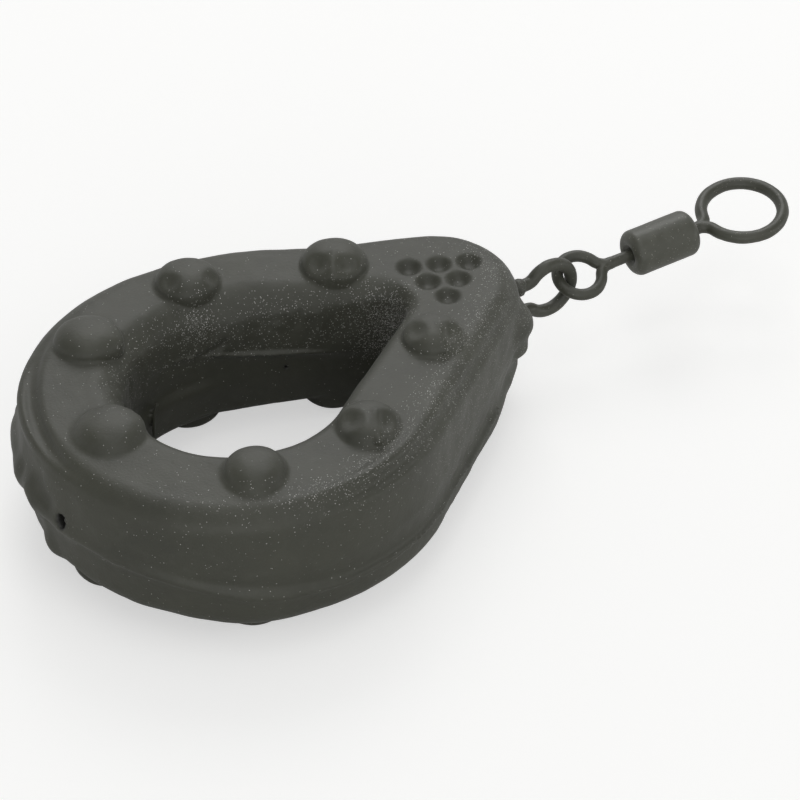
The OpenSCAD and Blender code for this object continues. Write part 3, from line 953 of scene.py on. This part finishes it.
# %% Finish of the hidden core
cast_lead = bpy.data.materials.new("dull cast lead")
cast_lead.use_nodes = True
tree = cast_lead.node_tree
metal = tree.nodes["Principled BSDF"]
where = add(tree, "ShaderNodeTexCoord").outputs["Object"]
mottle = add(tree, "ShaderNodeTexNoise", {"Vector": where}, in_Scale=per_metre(3), in_Detail=4.0)
ramp = add(tree, "ShaderNodeValToRGB", {"Fac": mottle.outputs["Fac"]})
for element, (at, tone) in zip(ramp.color_ramp.elements, ((0.3, "#55565A"), (0.7, "#6F7175"))):
    element.position, element.color = at, colour(tone)
tree.links.new(ramp.outputs["Color"], metal.inputs["Base Color"])
metal.inputs["Metallic"].default_value = 1.0
metal.inputs["Roughness"].default_value = 0.6
dress(bare_casting, cast_lead)

# %% [markdown]
# ## Floor, light and camera
#
# The lead lies on a pale plain floor under soft light. The floor shows the camera plain white where
# no shadow falls, through Is Camera Ray, so that no extra light has to be thrown on the object.

# %% Floor
FLOOR_SIZE, GLOW, WHITE = 4, 0.53, (1, 1, 1, 1)  # metres; a glow that the camera alone sees
bpy.ops.mesh.primitive_plane_add(size=FLOOR_SIZE, location=(0, 0, 0))
floor = bpy.context.object
floor.name = "floor"
paper = bpy.data.materials.new("pale paper")
paper.use_nodes = True
tree = paper.node_tree
tree.nodes.clear()
ray = add(tree, "ShaderNodeLightPath")
matte = add(tree, "ShaderNodeBsdfDiffuse", in_Color=colour("#DDDDDB"))
glow = add(tree, "ShaderNodeEmission", in_Color=WHITE, in_Strength=GLOW)
seen = add(tree, "ShaderNodeMixShader", {0: ray.outputs["Is Camera Ray"], 2: glow.outputs[0]})
both = add(tree, "ShaderNodeAddShader", {0: matte.outputs[0], 1: seen.outputs[0]})
add(tree, "ShaderNodeOutputMaterial", {"Surface": both.outputs[0]})
dress(floor, paper)
floor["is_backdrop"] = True

# %% [markdown]
# The studio is white all round, but its two sides are dark above the height of the table, as with
# black cards. The steep sides of the nubs mirror them, and that draws each nub's form.

# %% Light from all round
SIDEWAYS = (0.774, -0.633, 0)  # square to the direction that faces us
OPEN_SKY, CARD = 0.6, 0.15  # strengths
world = bpy.data.worlds.new("studio")
bpy.context.scene.world = world
world.use_nodes = True
tree = world.node_tree
tree.nodes.clear()
ray = add(tree, "ShaderNodeLightPath")
where = add(tree, "ShaderNodeTexCoord").outputs["Generated"]
sideways = add(tree, "ShaderNodeVectorMath", {0: where}, operation="DOT_PRODUCT", in_1=SIDEWAYS)
either_side = add(tree, "ShaderNodeMath", {0: sideways.outputs["Value"]}, operation="ABSOLUTE")
height = add(tree, "ShaderNodeSeparateXYZ", {"Vector": where})
links = {0: either_side.outputs[0], 1: height.outputs["Z"]}
amount = add(tree, "ShaderNodeMath", links, operation="MULTIPLY")
level = add(
    tree, "ShaderNodeMapRange", {"Value": amount.outputs[0]},
    in_From_Min=0.12, in_From_Max=0.42, in_To_Min=OPEN_SKY, in_To_Max=CARD,
)
soft = add(tree, "ShaderNodeBackground", {"Strength": level.outputs[0]}, in_Color=WHITE)
white = add(tree, "ShaderNodeBackground", in_Color=WHITE, in_Strength=1.0)
links = {0: ray.outputs["Is Camera Ray"], 1: soft.outputs[0], 2: white.outputs[0]}
sky = add(tree, "ShaderNodeMixShader", links)
add(tree, "ShaderNodeOutputWorld", {"Surface": sky.outputs[0]})


# %% Soft boxes round the lead
def look_at(thing, aim):
    """Turns a lamp or camera so that its own -Z axis points at aim, with Y up."""
    thing.rotation_euler = (Vector(aim) - thing.location).to_track_quat("-Z", "Y").to_euler()


def direction(azimuth, elevation):
    """Unit vector of a compass direction from +X towards +Y, and a height above the table."""
    a, e = math.radians(azimuth), math.radians(elevation)
    return np.array([math.cos(a) * math.cos(e), math.sin(a) * math.cos(e), math.sin(e)])


SOFT_BOXES = {  # azimuth, elevation, watts
    "top box": (0, 88, 0.14), "back box": (50, 45, 0.38), "right box": (-85, 45, 0.12),
    "low right box": (-45, 8, 0.16), "front box": (-130, 10, 0.17),
}
BOX_SIZE, BOX_AWAY = 0.25, 0.5
for name, (azimuth, elevation, watts) in SOFT_BOXES.items():
    lamp = bpy.data.lights.new(name, "AREA")
    lamp.size, lamp.energy = BOX_SIZE, watts
    holder = bpy.data.objects.new(name, lamp)
    bpy.context.scene.collection.objects.link(holder)
    holder.location = BOX_AWAY * direction(azimuth, elevation)
    look_at(holder, (0, 0, 0))
print(len(SOFT_BOXES), f"soft boxes, {sum(watts for *_, watts in SOFT_BOXES.values()):.2f} W")

# %% [markdown]
# The camera stands where the photograph's camera stood: a long lens, about 40 degrees above the
# table and well to one side of the lead.

# %% Camera
AZIMUTH, ELEVATION, DISTANCE = 39.3, 39.4, 268.8  # degrees, degrees, millimetres
FOCAL_PX, IMAGE_PX, SENSOR = 3461.7, 800, 36  # pixels, pixels, millimetres
AIM_OFF = [12.0, -4.94, 0]
forward = direction(90 - AZIMUTH, -ELEVATION)
aim = LEAD_ORIGIN + AIM_OFF
lens = bpy.data.cameras.new("camera")
lens.sensor_width = SENSOR
lens.lens = SENSOR * FOCAL_PX / IMAGE_PX
lens.clip_start, lens.clip_end = 0.01, 20
camera = bpy.data.objects.new("camera", lens)
bpy.context.scene.collection.objects.link(camera)
camera.location = (aim - DISTANCE * forward) * MM
look_at(camera, aim * MM)
bpy.context.scene.camera = camera
bpy.context.scene.view_settings.view_transform = "Standard"
print("camera at", [round(c, 4) for c in camera.location], "lens", round(lens.lens, 1))

# %% [markdown]
# Last, the box of the dressed model is set beside the CAD box, so that the two can be compared.

# %% Sizes, and the end
plain = lambda box: [[float(c) for c in corner] for corner in box]
{"cad": plain(CAD_BOX), "visual": plain(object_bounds())}
